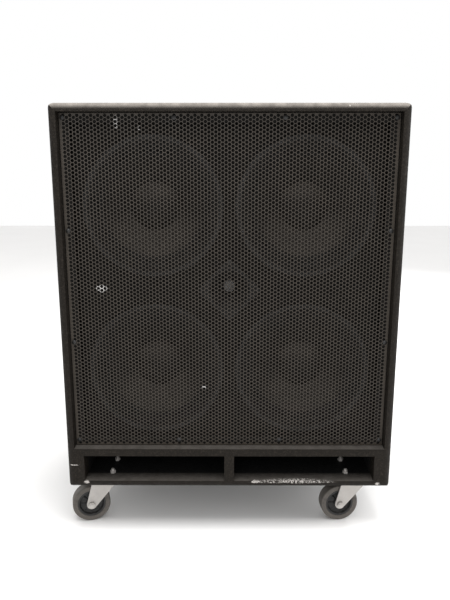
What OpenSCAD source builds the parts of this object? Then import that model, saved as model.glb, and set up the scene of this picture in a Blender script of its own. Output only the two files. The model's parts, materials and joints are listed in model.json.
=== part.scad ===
// Four-driver bass cabinet on casters: plywood box, slot port, centre horn, perforated grille.
// Units are millimetres. +Z is up, the front faces -Y, and the floor under the wheels is z = 0.

/* [Cabinet] */
// Outside width of the box
cab_w = 630; // [600:1:680]
// Outside height of the box, without casters
cab_h = 724; // [700:1:780]
// Outside depth of the box
cab_d = 450; // [420:1:520]
// Thickness of the outer panels and of the port shelf
wall = 15; // [12:1:18]
// Radius of the rounded outer edges
edge_r = 13; // [4:1:14]
// How far the back panel sits inside the rear edges
back_inset = 6; // [5:0.5:9]

/* [Port] */
// Height of the slot between the bottom panel and the shelf
port_h = 52; // [40:1:60]
// Length of the slot from front to back
port_len = 330; // [200:5:350]
// Thickness of the divider in the middle of the slot
divider_t = 19; // [15:1:22]
// Width of the blocks at both ends of the slot
port_block = 18; // [15:1:20]

/* [Grille] */
// Depth of the grille's front face behind the front edges
grille_recess = 17; // [12:1:24]
// Thickness of the perforated steel sheet
grille_t = 1.5; // [1:0.1:2]
// Width and depth of the battens behind it
batten = 18; // [15:1:18]
// Distance between the two screws in each side of the grille
side_screw_gap = 210; // [160:5:240]

/* [Drivers] */
// Half the distance between driver centres, across
driver_dx = 139.3; // [137:0.1:142]
// Half the distance between driver centres, up and down
driver_dz = 155; // [140:1:157]
// Height of the middle of the four drivers above the underside of the box
driver_mid = 389; // [386:1:395]
// Outside radius of a driver's flange
flange_r = 128.5; // [124:0.5:130]
// Radius of the cone at its outer edge
cone_r = 96; // [92:1:98]
// Radius of the dust cap
cap_r = 45; // [38:1:52]
// Side of the square flange of the centre horn
horn_side = 86; // [80:1:92]

/* [Casters] */
// Height from the floor to the underside of the box
caster_h = 97; // [92:1:105]
// Radius of a wheel
wheel_r = 38; // [34:1:39]
// Width of a tyre
wheel_w = 24; // [20:1:25]
// Distance from a swivel axis to its wheel's axle, seen from above
trail = 30; // [24:1:34]
// Distance from each side of the box to the swivel axes
caster_in_x = 60; // [56:1:70]
// Distance from the front and the back of the box to the swivel axes
caster_in_y = 60; // [56:1:80]

/* [Hidden] */
$fn = 64;
eps = 0.01;

// Main planes of the box
front = -cab_d / 2;
back = cab_d / 2;
base = caster_h;
top = base + cab_h;
in_x = cab_w / 2 - wall;
floor_z = base + wall;
shelf_z = floor_z + port_h;
shelf_top = shelf_z + wall;
roof_z = top - wall;
back_out = back - back_inset;
back_in = back_out - wall;

// Planes behind the grille
sheet_front = front + grille_recess;
sheet_back = sheet_front + grille_t;
baffle_front = sheet_back + batten;
baffle_t = 18;
baffle_back = baffle_front + baffle_t;

// Grille fixings
sheet_gap = 1.5;
screw_x = in_x - 7;
screw_low = shelf_top + 12;
screw_high = roof_z - 9;
screw_mid = (screw_low + screw_high) / 2;
screw_head_r = 4.2;
screw_shank_r = 1.8;

// A driver, along its own axis: 0 is the baffle's front face and + is towards the listener
flange_t = 5;
basket_r = 114.5;
cutout_r = 115.5;
ring_r = 66;
basket_wall = 2.5;
basket_bottom = -74;
spider_land = -62;
coil_r = 26;
pole_r = 25;
gap_r = 27;
top_plate_t = 6;
magnet_t = 18;
magnet_r = 70;
back_plate_t = 6;
cone_edge_z = -4;
cone_neck_z = -46;
cone_t = 1.2;
driver_screw_r = 123.5;
driver_screw_count = 8;
centre_z = base + driver_mid;

// Rear controls and side handles
dish_z = base + 520;
dish_w = 151;
dish_h = 91;
dish_depth = 32;
dish_t = 2.5;
dish_floor = back_out + dish_t - dish_depth;
jack_x = [-48, -14];
knob_x = 42;
jack_bore_r = 3.25;
jack_body = [24, 26, 22];
handle_z = base + 500;
handle_w = 151;
handle_h = 91;
handle_depth = 42;
flange_rim = 12.5;
cut_gap = 0.5;

// Casters: name, side, end, and the way the wheel trails from the swivel, in degrees from +X
CASTERS = [
    ["front_left", -1, -1, 195],
    ["front_right", 1, -1, 187],
    ["rear_left", -1, 1, 160],
    ["rear_right", 1, 1, 15]
];
plate_size = [66, 78, 2.5];
bolt_dx = 22;
bolt_dy = 27;
race_r = 27;
race_h = 6;
crown_t = 2.5;
crown_gap = 0.5;
leg_t = 2.5;
leg_in = 13.5;
axle_r = 4;
bolt_r = 3;
screw_rise = 13;
run_gap = 0.05;
king_r = 5;
swivel_x = cab_w / 2 - caster_in_x;
swivel_y = cab_d / 2 - caster_in_y;
crown_top = base - plate_size[2] - race_h - crown_gap;

// Drivers: name, side, up or down
DRIVERS = [
    ["upper_left", -1, 1],
    ["upper_right", 1, 1],
    ["lower_left", -1, -1],
    ["lower_right", 1, -1]
];

// ---- Helpers ----

// A box between two corners
module block(low, high) {
    translate(low) cube(high - low);
}

// A rectangle with round corners, centred
module round_rect(w, h, r) {
    square([w - 2 * r, h], center = true);
    square([w, h - 2 * r], center = true);
    for (x = [-1, 1], y = [-1, 1])
        translate([x * (w / 2 - r), y * (h / 2 - r)]) circle(r);
}

// The whole box with every outer edge rounded
module envelope() {
    translate([0, 0, base + cab_h / 2]) intersection() {
        linear_extrude(cab_h, center = true) round_rect(cab_w, cab_d, edge_r);
        rotate([90, 0, 0]) linear_extrude(cab_d, center = true) round_rect(cab_w, cab_h, edge_r);
        rotate([90, 0, 90]) linear_extrude(cab_w, center = true) round_rect(cab_d, cab_h, edge_r);
    }
}

// Its children laid along -Y, so that their +Z faces the front
module facing_front(x, y, z) {
    translate([x, y, z]) rotate([90, 0, 0]) children();
}

// Its children laid along +Y, so that their +Z faces the back
module facing_back(x, y, z) {
    translate([x, y, z]) rotate([-90, 0, 0]) children();
}

// Its children at each driver's centre on the baffle
module at_driver(d) {
    facing_front(d[1] * driver_dx, baffle_front, centre_z + d[2] * driver_dz) children();
}

// Its children at a caster's swivel axis, turned so that +X is the way the wheel trails
module at_caster(c) {
    translate([c[1] * swivel_x, c[2] * swivel_y, 0]) rotate([0, 0, c[3]]) children();
}

// A pan-head screw with its seat at z = 0 and its shank below
module screw(length, head_r = screw_head_r, shank_r = screw_shank_r) {
    head_h = head_r * 0.6;
    intersection() {
        cylinder(h = head_h, r = head_r);
        translate([0, 0, head_h - head_r * 1.5]) sphere(head_r * 1.5);
    }
    translate([0, 0, -length]) cylinder(h = length + eps, r = shank_r);
}

// A wire through a list of points: one straight solid for each stretch, stopping just short of each bend
module wire(points, r = 1.75) {
    last = len(points) - 1;
    for (i = [1:last]) {
        run = points[i] - points[i - 1];
        start = i == 1 ? 0 : 1.1 * r;
        end = i == last ? 0 : 1.1 * r;
        translate(points[i - 1])
            rotate([0, acos(run[2] / norm(run)), atan2(run[1], run[0])])
                translate([0, 0, start]) cylinder(h = norm(run) - start - end, r = r, $fn = 24);
    }
}

// Where the line from p touches a circle, on the side that turn (1 or -1) gives
function touch(p, c, r, turn) =
    let (d = norm(c - p), a = atan2(c[1] - p[1], c[0] - p[0]) + turn * asin(r / d), l = sqrt(d * d - r * r))
    p + l * [cos(a), sin(a)];

// Places of the grille's screws, as [x, z]
grille_points = concat(
    [for (x = [-1, -1 / 3, 1 / 3, 1], z = [screw_low, screw_high]) [x * screw_x, z]],
    [for (x = [-1, 1], s = [-1, 1]) [x * screw_x, screw_mid + s * side_screw_gap / 2]]
);

// ---- Box ----

// The wedge-ended length of a panel of the mitred frame, of the given outer length, lying on z = 0
module mitred(length) {
    rotate([90, 0, 0]) linear_extrude(cab_d + 2, center = true)
        polygon([[-length / 2, 0], [length / 2, 0], [length / 2 - wall, wall], [wall - length / 2, wall]]);
}

module top_panel() {
    color([0.13, 0.13, 0.12]) intersection() {
        envelope();
        translate([0, 0, top]) mirror([0, 0, 1]) mitred(cab_w);
    }
}

module bottom_panel() {
    color([0.13, 0.13, 0.12]) difference() {
        intersection() {
            envelope();
            translate([0, 0, base]) mitred(cab_w);
        }
        for (c = CASTERS, dx = [-1, 1], dy = [-1, 1])
            translate([c[1] * swivel_x + dx * bolt_dx, c[2] * swivel_y + dy * bolt_dy, base - 1])
                cylinder(h = dx == c[1] ? screw_rise : wall + 2, r = bolt_r + run_gap);
    }
}

module side_panel(side) {
    color([0.13, 0.13, 0.12]) difference() {
        intersection() {
            envelope();
            translate([side * cab_w / 2, 0, base + cab_h / 2]) rotate([0, -side * 90, 0]) mitred(cab_h);
        }
        translate([side * cab_w / 2, 0, handle_z])
            cube([cab_w / 4, handle_w + 2 * cut_gap, handle_h + 2 * cut_gap], center = true);
    }
}

module back_panel() {
    color([0.13, 0.13, 0.12]) difference() {
        block([-in_x, back_in, floor_z], [in_x, back_out, roof_z]);
        translate([0, back, dish_z])
            cube([dish_w + 2 * cut_gap, cab_d / 4, dish_h + 2 * cut_gap], center = true);
    }
}

module baffle() {
    color([0.08, 0.08, 0.08]) difference() {
        block([-in_x, baffle_front, shelf_top], [in_x, baffle_back, roof_z]);
        for (d = DRIVERS)
            at_driver(d) translate([0, 0, -baffle_t - 1]) cylinder(h = baffle_t + 2, r = cutout_r, $fn = 96);
        facing_front(0, baffle_back + 1, centre_z) cylinder(h = baffle_t + 2, r = horn_hole_r);
    }
}

module port_shelf() {
    color([0.13, 0.13, 0.12])
        block([-in_x, front, shelf_z], [in_x, front + port_len, shelf_top]);
}

module port_divider() {
    color([0.13, 0.13, 0.12])
        block([-divider_t / 2, front, floor_z], [divider_t / 2, front + port_len, shelf_z]);
}

module port_side_blocks() {
    color([0.13, 0.13, 0.12]) for (s = [-1, 1])
        translate([s * (in_x - port_block / 2), front + port_len / 2, floor_z + port_h / 2])
            cube([port_block, port_len, port_h], center = true);
}

// A bar from side to side, and a strut from the baffle to the back panel on top of it
brace_y = 40;
brace_h = 60;
strut_h = 18;
module braces() {
    color([0.72, 0.58, 0.4]) {
        block([-in_x, brace_y, centre_z - brace_h / 2], [in_x, brace_y + baffle_t, centre_z + brace_h / 2]);
        block([-20, baffle_back, centre_z + brace_h / 2], [20, back_in, centre_z + brace_h / 2 + strut_h]);
    }
}

// Sheets of wadding on the inside of the top, the back and the lower sides
lining_t = 20;
module damping_lining() {
    side_low = shelf_top + 12;
    side_high = centre_z - brace_h / 2 - 12;
    color([0.75, 0.75, 0.72]) {
        block([-in_x + 8, baffle_back + 8, roof_z - lining_t], [in_x - 8, back_in, roof_z]);
        block([-in_x + 8, back_in - lining_t, dish_z + 70], [in_x - 8, back_in, roof_z - lining_t]);
        for (s = [-1, 1])
            block([s > 0 ? in_x - lining_t : -in_x, baffle_back + 8, side_low],
                  [s > 0 ? in_x : -in_x + lining_t, back_in, side_high]);
    }
}

// ---- Grille ----

module grille_battens() {
    color([0.06, 0.06, 0.06]) {
        for (z = [shelf_top, roof_z - batten])
            block([-in_x, sheet_back, z], [in_x, baffle_front, z + batten]);
        for (x = [-in_x, in_x - batten])
            block([x, sheet_back, shelf_top + batten], [x + batten, baffle_front, roof_z - batten]);
    }
}

module grille() {
    color([0.2, 0.2, 0.19]) difference() {
        block([-in_x + sheet_gap, sheet_front, shelf_top + sheet_gap],
              [in_x - sheet_gap, sheet_back, roof_z - sheet_gap]);
        for (p = grille_points)
            facing_front(p[0], sheet_back + 1, p[1]) cylinder(h = grille_t + 2, r = screw_shank_r + 0.2);
    }
}

module grille_screws() {
    color([0.15, 0.15, 0.15]) for (p = grille_points)
        facing_front(p[0], sheet_front, p[1]) screw(grille_t + batten - 3);
}

// ---- Drivers ----

basket_profile = [
    [basket_r - basket_wall, flange_t],
    [flange_r, flange_t],
    [flange_r, 0],
    [basket_r, 0],
    [basket_r, -baffle_t],
    [ring_r + 3, spider_land],
    [ring_r, basket_bottom],
    [gap_r + 1.5, basket_bottom],
    [gap_r + 1.5, basket_bottom + 3],
    [ring_r - 6, basket_bottom + 3],
    [ring_r - 6, spider_land],
    [ring_r, spider_land],
    [basket_r - basket_wall, -baffle_t + 1]
];

module basket() {
    windows = 6;
    reach = basket_r + 10;
    difference() {
        rotate_extrude($fn = 96) polygon(basket_profile);
        for (i = [0:windows - 1])
            rotate([0, 0, (i + 0.5) * 360 / windows])
                translate([0, 0, spider_land + 8])
                    linear_extrude(30)
                        polygon([[0, 0], reach * [cos(20), -sin(20)], reach * [cos(20), sin(20)]]);
        for (i = [0:driver_screw_count - 1])
            rotate([0, 0, (i + 0.5) * 360 / driver_screw_count])
                translate([driver_screw_r, 0, -1]) cylinder(h = flange_t + 2, r = 2.4, $fn = 24);
    }
}

// The tab that the wires reach is on the side towards the middle of the cabinet
tab_out = ring_r + 8;
module driver_baskets() {
    color([0.07, 0.07, 0.07]) for (d = DRIVERS) at_driver(d) {
        basket();
        mirror([d[1] > 0 ? 1 : 0, 0, 0])
            block([ring_r - 3, -8, basket_bottom], [tab_out, 8, basket_bottom + 3]);
    }
}

module motor() {
    plate_z = basket_bottom - top_plate_t;
    magnet_z = plate_z - magnet_t;
    rear_z = magnet_z - back_plate_t;
    difference() {
        translate([0, 0, plate_z]) cylinder(h = top_plate_t, r = 60);
        translate([0, 0, plate_z - 1]) cylinder(h = top_plate_t + 2, r = gap_r);
    }
    difference() {
        translate([0, 0, magnet_z]) cylinder(h = magnet_t, r = magnet_r);
        translate([0, 0, magnet_z - 1]) cylinder(h = magnet_t + 2, r = gap_r + 7);
    }
    difference() {
        union() {
            translate([0, 0, rear_z]) cylinder(h = back_plate_t, r = 60);
            translate([0, 0, rear_z + 1]) cylinder(h = basket_bottom - rear_z - 1, r = pole_r);
        }
        translate([0, 0, rear_z - 1]) cylinder(h = basket_bottom - rear_z + 2, r = 9);
    }
}

module driver_magnets() {
    color([0.3, 0.3, 0.31]) for (d = DRIVERS) at_driver(d) motor();
}

// A corrugated ring that keeps the voice coil centred
module spider() {
    folds = 4;
    inner = coil_r + 1.2;
    outer = ring_r - 6.5;
    span = outer - inner;
    steps = folds * 6;
    wave = [for (i = [0:steps]) [inner + span * i / steps, 1.6 * sin(360 * folds * i / steps)]];
    translate([0, 0, spider_land + 2.2]) rotate_extrude()
        polygon(concat(
            [for (p = wave) p + [0, 0.6]],
            [[ring_r - 0.5, 0.6], [ring_r - 0.5, -1.4], [outer, -1.4]],
            [for (i = [steps:-1:0]) wave[i] - [0, 0.6]]
        ));
}

module driver_spiders() {
    color([0.75, 0.6, 0.3]) for (d = DRIVERS) at_driver(d) spider();
}

module driver_gaskets() {
    color([0.05, 0.05, 0.05]) for (d = DRIVERS) at_driver(d)
        translate([0, 0, flange_t + 0.8]) rotate_extrude($fn = 96)
            polygon([[112.5, 0], [118.5, 0], [118.5, 2.2], [117.5, 3.2], [113.5, 3.2], [112.5, 2.2]]);
}

module driver_screws() {
    color([0.1, 0.1, 0.1]) for (d = DRIVERS) at_driver(d)
        for (i = [0:driver_screw_count - 1])
            rotate([0, 0, (i + 0.5) * 360 / driver_screw_count])
                translate([driver_screw_r, 0, flange_t]) screw(flange_t + 14, 4.5, 2.1);
}

// Height of the cone's front face at a radius, along a gently curved flare
function cone_z(r) =
    let (s = (r - coil_r) / (cone_r - coil_r))
    cone_neck_z + (cone_edge_z - cone_neck_z) * (s + 0.22 * s * (1 - s));

// The paper cone, and inside its neck the voice coil on its former
module cone_and_coil() {
    steps = 12;
    radii = [for (i = [0:steps]) coil_r + 0.4 + (cone_r - coil_r - 0.4) * i / steps];
    former_low = basket_bottom - 18;
    rotate_extrude($fn = 96) polygon(concat(
        [for (r = radii) [r, cone_z(r)]],
        [for (i = [steps:-1:0]) [radii[i], cone_z(radii[i]) - cone_t]]
    ));
    rotate_extrude($fn = 64) polygon([
        [coil_r - 0.5, cone_neck_z + 4], [coil_r, cone_neck_z + 4],
        [coil_r, basket_bottom - 1], [coil_r + 0.6, basket_bottom - 1],
        [coil_r + 0.6, former_low + 4], [coil_r, former_low + 4],
        [coil_r, former_low], [coil_r - 0.5, former_low]
    ]);
}

module cone(i) {
    color([0.16, 0.16, 0.15]) at_driver(DRIVERS[i]) cone_and_coil();
}

module dust_cap(i) {
    rise = 17;
    curve_r = (cap_r * cap_r + rise * rise) / (2 * rise);
    seat = cone_z(cap_r) + 0.1;
    color([0.14, 0.14, 0.14]) at_driver(DRIVERS[i]) translate([0, 0, seat + rise - curve_r])
        rotate_extrude($fn = 96) intersection() {
            difference() {
                circle(curve_r, $fn = 180);
                circle(curve_r - 0.8, $fn = 180);
            }
            translate([0, curve_r - rise]) square([cap_r, rise + 1]);
        }
}

module surround(i) {
    color([0.1, 0.1, 0.1]) at_driver(DRIVERS[i]) rotate_extrude($fn = 96) polygon([
        [cone_r + 0.3, cone_edge_z - 1.2],
        [111.5, flange_t + 0.05],
        [118, flange_t + 0.05],
        [118, flange_t + 0.75],
        [111, flange_t + 0.75],
        [cone_r + 0.3, cone_edge_z]
    ]);
}

// ---- Centre horn ----

horn_depth = 40;
mouth_r = 37;
throat_r = 11;
horn_hole_r = 40;
horn_flange_t = 4;
function horn_r(s) = throat_r * pow(mouth_r / throat_r, s);

module tweeter_horn() {
    steps = 8;
    skin = 2;
    hole_at = horn_side / 2 - 6;
    color([0.08, 0.08, 0.08]) facing_front(0, baffle_front, centre_z) difference() {
        union() {
            rotate([0, 0, 45]) linear_extrude(horn_flange_t) round_rect(horn_side, horn_side, 6);
            translate([0, 0, horn_flange_t - horn_depth]) rotate_extrude() polygon(concat(
                [[0, 0], [throat_r + skin, 0]],
                [for (i = [1:steps - 1]) [horn_r(i / steps) + skin, horn_depth * i / steps]],
                [[mouth_r + skin, horn_depth - 1], [0, horn_depth - 1]]
            ));
        }
        translate([0, 0, horn_flange_t - horn_depth]) rotate_extrude() polygon(concat(
            [[0, -1], [throat_r, -1]],
            [for (i = [0:steps]) [horn_r(i / steps), horn_depth * i / steps]],
            [[mouth_r, horn_depth + 1], [0, horn_depth + 1]]
        ));
        for (a = [0:90:270])
            rotate([0, 0, a + 45]) translate([hole_at, hole_at, -1]) cylinder(h = horn_flange_t + 2, r = 2.2);
    }
}

module tweeter_driver() {
    seat = horn_flange_t - horn_depth;
    color([0.3, 0.3, 0.31]) facing_front(0, baffle_front, centre_z) {
        translate([0, 0, seat - 8]) cylinder(h = 8, r = 24);
        translate([0, 0, seat - 26]) cylinder(h = 18, r = 28);
    }
}

// Screws of the horn, the rear dish and the side handles
module wood_screws() {
    hole_at = horn_side / 2 - 6;
    color([0.12, 0.12, 0.12]) {
        facing_front(0, baffle_front, centre_z)
            for (a = [0:90:270])
                rotate([0, 0, a + 45]) translate([hole_at, hole_at, horn_flange_t]) screw(16);
        for (x = [-1, 1], z = [-1, 1])
            translate([x * (dish_w + flange_rim) / 2, 0, z * (dish_h + flange_rim) / 2])
                facing_back(0, back_out + dish_t, dish_z)
                screw(14);
        for (s = [-1, 1], y = [-1, 1], z = [-1, 1])
            translate([s * (cab_w / 2 + dish_t), y * (handle_w + flange_rim) / 2,
                       handle_z + z * (handle_h + flange_rim) / 2])
                rotate([0, s * 90, 0]) screw(14);
    }
}

// ---- Rear dish, sockets and control ----

module jack_dish() {
    color([0.07, 0.07, 0.07]) difference() {
        union() {
            translate([0, back_out + dish_t, dish_z]) rotate([90, 0, 0]) linear_extrude(dish_t)
                round_rect(dish_w + 2 * flange_rim, dish_h + 2 * flange_rim, 8);
            block([-dish_w / 2, dish_floor - dish_t, dish_z - dish_h / 2],
                  [dish_w / 2, back_out + 1, dish_z + dish_h / 2]);
        }
        block([-dish_w / 2 + dish_t, dish_floor, dish_z - dish_h / 2 + dish_t],
              [dish_w / 2 - dish_t, back, dish_z + dish_h / 2 - dish_t]);
        for (x = jack_x)
            facing_back(x, dish_floor - dish_t - 1, dish_z) cylinder(h = dish_t + 2, r = 4.9);
        facing_back(knob_x, dish_floor - dish_t - 1, dish_z) cylinder(h = dish_t + 2, r = 4.1);
        for (x = [-1, 1], z = [-1, 1])
            facing_back(x * (dish_w + flange_rim) / 2, back_out - 1, dish_z + z * (dish_h + flange_rim) / 2)
                cylinder(h = dish_t + 2, r = 2.2);
    }
}

// A socket for a quarter-inch plug, and the hex nut that clamps it
module jack_socket() {
    bush = 9;
    difference() {
        union() {
            block([-jack_body[0] / 2, -jack_body[2] / 2, -jack_body[1]],
                  [jack_body[0] / 2, jack_body[2] / 2, 0]);
            translate([0, 0, -1]) cylinder(h = bush + 1, r = 4.75);
        }
        translate([0, 0, 3 - jack_body[1]]) cylinder(h = jack_body[1] + bush, r = jack_bore_r);
    }
    translate([0, 0, dish_t]) difference() {
        cylinder(h = 3, r = 8, $fn = 6);
        translate([0, 0, -1]) cylinder(h = 5, r = 4.8);
    }
}

module jack_sockets() {
    color([0.55, 0.55, 0.56]) for (x = jack_x)
        facing_back(x, dish_floor - dish_t, dish_z) jack_socket();
}

// The body of the rotary level control, with its threaded bush and nut
module level_control() {
    color([0.5, 0.5, 0.5]) facing_back(knob_x, dish_floor - dish_t, dish_z) difference() {
        union() {
            translate([0, 0, -14]) cylinder(h = 14, r = 14);
            translate([0, 0, -1]) cylinder(h = dish_t + 6, r = 4);
            translate([0, 0, dish_t]) cylinder(h = 2, r = 6.5, $fn = 6);
        }
        translate([0, 0, -8]) cylinder(h = 30, r = 3 + run_gap);
    }
}

// The knob with its pointer, and the shaft that it is pressed on
module level_knob() {
    lift = dish_t + 5.6;
    color([0.06, 0.06, 0.06]) facing_back(knob_x, dish_floor - dish_t, dish_z) {
        difference() {
            union() {
                translate([0, 0, lift]) cylinder(h = 3, r = 11);
                translate([0, 0, lift + 3 - eps]) cylinder(h = 10, r1 = 9, r2 = 8);
                block([-0.7, 4, lift + 12], [0.7, 10.5, lift + 13.6]);
            }
            translate([0, 0, lift - 1]) cylinder(h = 9, r = 3);
        }
        translate([0, 0, -7]) cylinder(h = lift + 15, r = 3);
    }
}

// Board on four posts with the parts that split off the horn's signal
board_y = back_in - 10;
board_z = base + 340;
module crossover() {
    color([0.2, 0.35, 0.2]) {
        block([-60, board_y - 1.6, board_z - 40], [60, board_y, board_z + 40]);
        for (x = [-1, 1], z = [-1, 1])
            facing_back(x * 54, board_y, board_z + z * 34) cylinder(h = back_in - board_y, r = 4);
    }
    color([0.7, 0.4, 0.2]) facing_front(-30, board_y - 1.6, board_z) difference() {
        cylinder(h = 18, r = 22);
        translate([0, 0, -1]) cylinder(h = 20, r = 11);
    }
    color([0.8, 0.75, 0.4]) for (z = [-14, 8])
        translate([12, board_y - 1.6 - 9, board_z + z]) rotate([0, 90, 0]) cylinder(h = 34, r = 9);
    color([0.9, 0.9, 0.88]) block([6, board_y - 13, board_z + 18], [46, board_y - 1.6, board_z + 27]);
}

// Leads from the sockets and the control to the board, and from the board to the drivers and the horn
lead_y = 150;
drop_y = 135;
module wiring_harness() {
    tab_y = baffle_front - basket_bottom - 1.5;
    face_y = board_y - 1.6;
    lead_z = board_z + 32;
    color([0.5, 0.1, 0.1]) {
        for (s = [-1, 1]) {
            wire([[s * (driver_dx - tab_out), tab_y, centre_z + driver_dz],
                  [s * 50, tab_y, centre_z + driver_dz], [s * 50, drop_y - 15, centre_z + driver_dz],
                  [s * 50, drop_y - 15, dish_z - 90], [s * 52, lead_y, lead_z], [s * 52, face_y, lead_z]]);
            wire([[s * (driver_dx - tab_out), tab_y, centre_z - driver_dz],
                  [s * 50, tab_y, centre_z - driver_dz], [s * 50, lead_y, centre_z - driver_dz],
                  [s * 52, lead_y, board_z - 34], [s * 52, face_y, board_z - 34]]);
        }
        wire([[0, baffle_front + horn_depth + 22, centre_z], [0, baffle_front + 94, centre_z],
              [0, baffle_front + 94, board_z + 6], [0, face_y, board_z + 6]]);
        for (lead = [[jack_x[0], -44, jack_body[1]], [jack_x[1], -36, jack_body[1]], [knob_x, 36, 14]])
            wire([[lead[0], dish_floor - dish_t - lead[2], dish_z], [lead[0], drop_y, dish_z],
                  [lead[1], drop_y, dish_z - 50], [lead[1], drop_y, lead_z], [lead[1], face_y, lead_z]]);
    }
}

// ---- Side handles ----

grip_r = 9;
module handle(side) {
    cup_in = cab_w / 2 - handle_depth;
    color([0.07, 0.07, 0.07]) translate([0, 0, handle_z]) mirror([side > 0 ? 0 : 1, 0, 0]) {
        difference() {
            union() {
                translate([cab_w / 2, 0, 0]) rotate([90, 0, 90]) linear_extrude(dish_t)
                    round_rect(handle_w + 2 * flange_rim, handle_h + 2 * flange_rim, 8);
                block([cup_in, -handle_w / 2, -handle_h / 2], [cab_w / 2 + 1, handle_w / 2, handle_h / 2]);
            }
            block([cup_in + 3, -handle_w / 2 + 3, -handle_h / 2 + 3],
                  [cab_w, handle_w / 2 - 3, handle_h / 2 - 3]);
            for (y = [-1, 1], z = [-1, 1])
                translate([cab_w / 2 - 1, y * (handle_w + flange_rim) / 2, z * (handle_h + flange_rim) / 2])
                    rotate([0, 90, 0]) cylinder(h = dish_t + 2, r = 2.2);
        }
        translate([cab_w / 2 - grip_r, -handle_w / 2 + 1, 22]) rotate([-90, 0, 0])
            cylinder(h = handle_w - 2, r = grip_r);
    }
}

// ---- Casters ----

// Top plates with their ball race and the kingpin that the fork turns on
module caster_plates() {
    king_low = crown_top - crown_t - crown_gap;
    color([0.75, 0.75, 0.74]) for (c = CASTERS) translate([c[1] * swivel_x, c[2] * swivel_y, 0]) {
        difference() {
            translate([0, 0, base - plate_size[2] / 2]) linear_extrude(plate_size[2], center = true)
                round_rect(plate_size[0], plate_size[1], 5);
            for (x = [-1, 1], y = [-1, 1])
                translate([x * bolt_dx, y * bolt_dy, base - plate_size[2] - 1])
                    cylinder(h = plate_size[2] + 2, r = bolt_r + run_gap);
        }
        translate([0, 0, base - plate_size[2] - race_h])
            cylinder(h = race_h + 1, r1 = race_r - 3, r2 = race_r - 6);
        translate([0, 0, king_low]) cylinder(h = base - 1 - king_low, r = king_r);
        translate([0, 0, king_low - 3]) cylinder(h = 3, r1 = king_r + 1.5, r2 = king_r + 4);
    }
}

// Inner pair of each plate: bolts up through the floor, with nuts. Outer pair: screws that end in the floor
module caster_bolts() {
    rise = wall + plate_size[2];
    color([0.8, 0.8, 0.8]) for (c = CASTERS, x = [-1, 1], y = [-1, 1])
        translate([c[1] * swivel_x + x * bolt_dx, c[2] * swivel_y + y * bolt_dy, base - plate_size[2]]) {
            translate([0, 0, -3.5]) cylinder(h = 3.5, r = 5.5, $fn = 6);
            cylinder(h = x == c[1] ? screw_rise : rise + 9, r = bolt_r);
            if (x != c[1]) translate([0, 0, rise]) difference() {
                cylinder(h = 5, r = 5.5, $fn = 6);
                translate([0, 0, -1]) cylinder(h = 7, r = bolt_r + run_gap);
            }
        }
}

// A pressed fork: a round crown under the race and two legs down to the axle
leg_end_r = 10;
leg_top = [-race_r, race_r];
module fork(i) {
    end = [trail, wheel_r - crown_top];
    left = touch([leg_top[0], 0], end, leg_end_r, -1);
    right = touch([leg_top[1], 0], end, leg_end_r, 1);
    color([0.75, 0.75, 0.74]) at_caster(CASTERS[i]) translate([0, 0, crown_top]) difference() {
        union() {
            translate([0, 0, -crown_t]) intersection() {
                cylinder(h = crown_t, r = race_r);
                cube([3 * race_r, 2 * (leg_in + leg_t), 3 * race_r], center = true);
            }
            for (s = [-1, 1]) translate([0, s * (leg_in + leg_t / 2), 0]) rotate([90, 0, 0])
                linear_extrude(leg_t, center = true) {
                    polygon([[leg_top[0], 0], left, end, right, [leg_top[1], 0]]);
                    translate(end) circle(leg_end_r);
                }
        }
        translate([0, 0, -crown_t - 1]) cylinder(h = crown_t + 2, r = king_r + run_gap);
        translate([trail, 0, end[1]]) rotate([90, 0, 0])
            cylinder(h = 4 * leg_in, r = axle_r + run_gap, center = true);
    }
}

// The axle bolt: a domed head, a shank through both legs and a hex nut
module axle(i) {
    outside = leg_in + leg_t;
    color([0.8, 0.8, 0.8]) at_caster(CASTERS[i]) translate([trail, 0, wheel_r]) rotate([-90, 0, 0]) {
        translate([0, 0, -outside]) cylinder(h = 2 * outside + 6, r = axle_r);
        translate([0, 0, outside]) difference() {
            cylinder(h = 5, r = 7, $fn = 6);
            translate([0, 0, -1]) cylinder(h = 7, r = axle_r + run_gap);
        }
        intersection() {
            translate([0, 0, -outside - 3.5]) cylinder(h = 3.5, r = 7);
            translate([0, 0, -outside + 5]) sphere(9);
        }
    }
}

// The moulded wheel: rim, thin web and a boss that runs on the axle
rim_r = 28;
module wheel(i) {
    boss_w = 2 * leg_in - 0.6;
    half = boss_w / 2;
    rim_half = wheel_w / 2 - 1.5;
    color([0.1, 0.1, 0.1]) at_caster(CASTERS[i]) translate([trail, 0, wheel_r]) rotate([90, 0, 0])
        rotate_extrude($fn = 96) polygon([
            [axle_r + run_gap, -half], [9, -half], [10, -5], [22, -5], [24, -rim_half], [rim_r, -rim_half],
            [rim_r, rim_half], [24, rim_half], [22, 5], [10, 5], [9, half], [axle_r + run_gap, half]
        ]);
}

module tyre(i) {
    half = wheel_w / 2;
    bevel = 3;
    color([0.42, 0.41, 0.38]) at_caster(CASTERS[i]) translate([trail, 0, wheel_r]) rotate([90, 0, 0])
        rotate_extrude($fn = 96) polygon([
            [rim_r, -half + 1.5], [rim_r + 1.5, -half],
            [wheel_r - bevel, -half], [wheel_r - 0.8, -half + 1.2],
            [wheel_r, -half + bevel], [wheel_r, half - bevel], [wheel_r - 0.8, half - 1.2],
            [wheel_r - bevel, half], [rim_r + 1.5, half], [rim_r, half - 1.5]
        ]);
}

// ---- Nodes ----

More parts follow.
